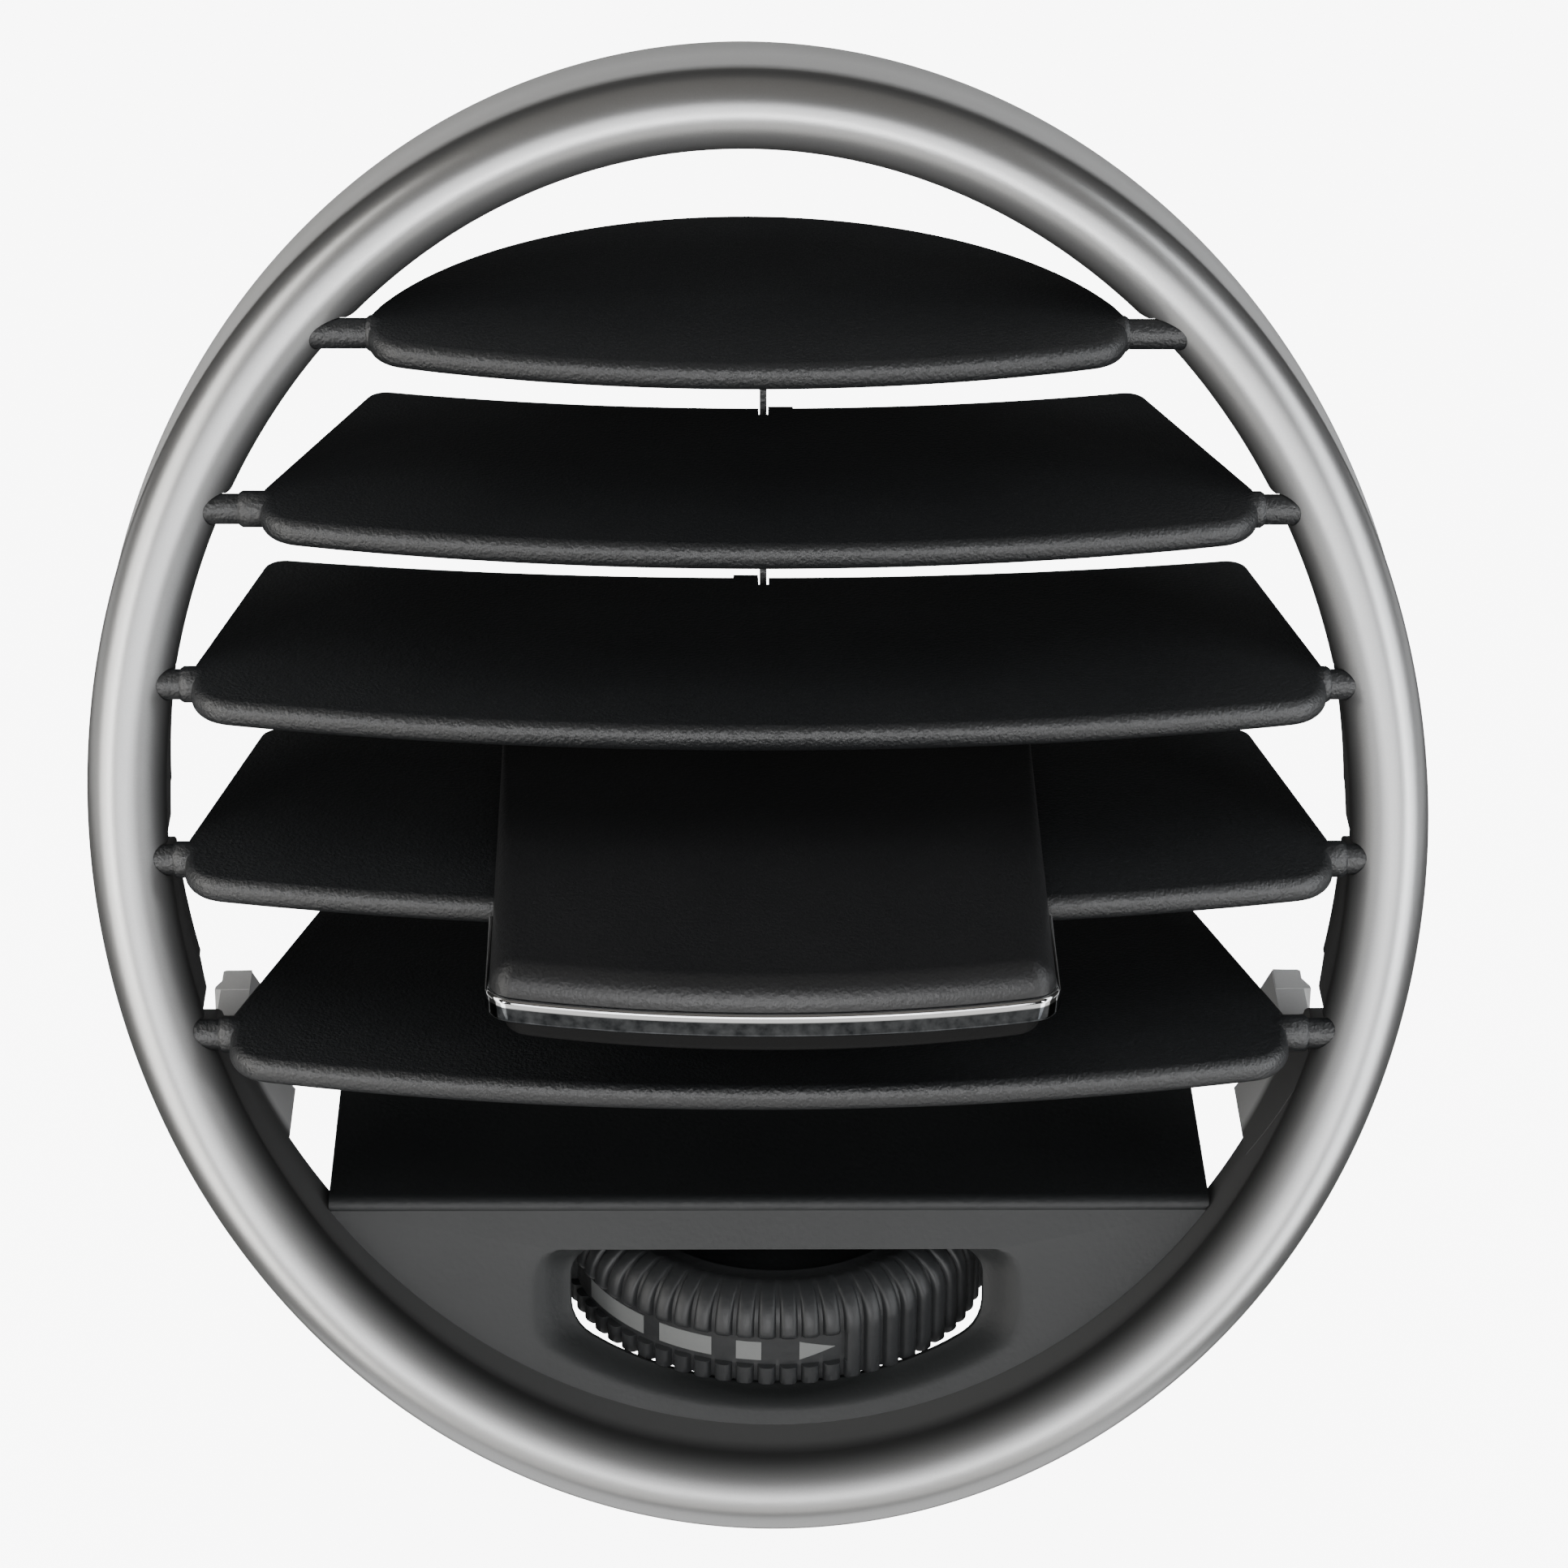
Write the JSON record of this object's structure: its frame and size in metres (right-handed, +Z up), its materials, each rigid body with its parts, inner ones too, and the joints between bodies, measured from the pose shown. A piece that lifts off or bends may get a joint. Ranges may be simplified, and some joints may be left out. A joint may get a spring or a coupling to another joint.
{
  "type": "dashboard air vent",
  "caption": "Round dash air vent with a raked oval bezel, tilting vanes on a tie bar, a sliding knob and a ribbed thumbwheel in a lower panel.",
  "frame": {"origin": "middle of the bezel's face ring, on the axis of the round duct", "axes": "+Y back into the dash along the duct, +X to the right as the face is looked at, +Z up"},
  "size_m": [0.1002, 0.0628, 0.0988],
  "materials": {
    "silver_paint": "satin silver paint on moulded plastic",
    "vane_black": "fine grain",
    "knob_black": "soft satin",
    "chrome": "bright plated",
    "panel_grey": "fine matt grain",
    "shelf_black": "fine grain",
    "wheel_black": "moulded satin",
    "mark_grey": "matt inlay",
    "steel": "zinc plated",
    "pad_rubber": "soft"
  },
  "bodies": {
    "housing": {"bezel_ring": "silver_paint", "control_panel": "panel_grey", "shelf": "shelf_black", "wheel_axle": "steel", "wheel_clip": "steel", "wheel_friction_ring": "pad_rubber", "panel_screw_left": "steel", "panel_screw_right": "steel"},
    "wheel": {"thumbwheel": "wheel_black", "wheel_marks": "mark_grey"},
    "link": {"vane_link": "vane_black"},
    "knob": {"knob_cap": "knob_black", "knob_trim": "chrome", "knob_base": "knob_black", "knob_friction_pad": "pad_rubber"},
    "vane_body_1": {"vane_1": "vane_black"},
    "vane_body_2": {"vane_2": "vane_black"},
    "vane_body_3": {"vane_3": "vane_black"},
    "vane_body_4": {"vane_4": "vane_black"},
    "vane_body_5": {"vane_5": "vane_black"}
  },
  "joints": [
    {"name": "vane_4_tilt", "type": "hinge", "parent": "housing", "child": "vane_body_4", "pos_m": [0, -0.00284, -0.00334], "axis": [1, 0, 0], "range_deg": [-28, 18]},
    {"name": "vane_1_tilt", "type": "hinge", "parent": "housing", "child": "vane_body_1", "pos_m": [0, 0.01443, 0.03176], "axis": [1, 0, 0], "range_deg": [-28, 18]},
    {"name": "vane_2_tilt", "type": "hinge", "parent": "housing", "child": "vane_body_2", "pos_m": [0, 0.00867, 0.02006], "axis": [1, 0, 0], "range_deg": [-28, 18]},
    {"name": "vane_3_tilt", "type": "hinge", "parent": "housing", "child": "vane_body_3", "pos_m": [0, 0.00291, 0.00836], "axis": [1, 0, 0], "range_deg": [-28, 18]},
    {"name": "vane_5_tilt", "type": "hinge", "parent": "housing", "child": "vane_body_5", "pos_m": [0, -0.0086, -0.01504], "axis": [1, 0, 0], "range_deg": [-28, 18]},
    {"name": "link_swing", "type": "hinge", "parent": "vane_body_4", "child": "link", "pos_m": [0.0005, 0.01486, -0.00454], "axis": [1, 0, 0], "range_deg": [-18, 28]},
    {"name": "knob_slide", "type": "slide", "parent": "vane_body_4", "child": "knob", "axis": [1, 0, 0], "range_m": [-0.0129, 0.0111]},
    {"name": "wheel_turn", "type": "hinge", "parent": "housing", "child": "wheel", "pos_m": [0.0014, -0.0013, -0.037], "axis": [0, 0, 1], "range_deg": [-15, 70]}
  ],
  "couplings": [
    {"joint": "vane_1_tilt", "follows": "vane_4_tilt", "ratio": 1},
    {"joint": "vane_2_tilt", "follows": "vane_4_tilt", "ratio": 1},
    {"joint": "vane_3_tilt", "follows": "vane_4_tilt", "ratio": 1},
    {"joint": "vane_5_tilt", "follows": "vane_4_tilt", "ratio": 1},
    {"joint": "link_swing", "follows": "vane_4_tilt", "ratio": -1}
  ]
}
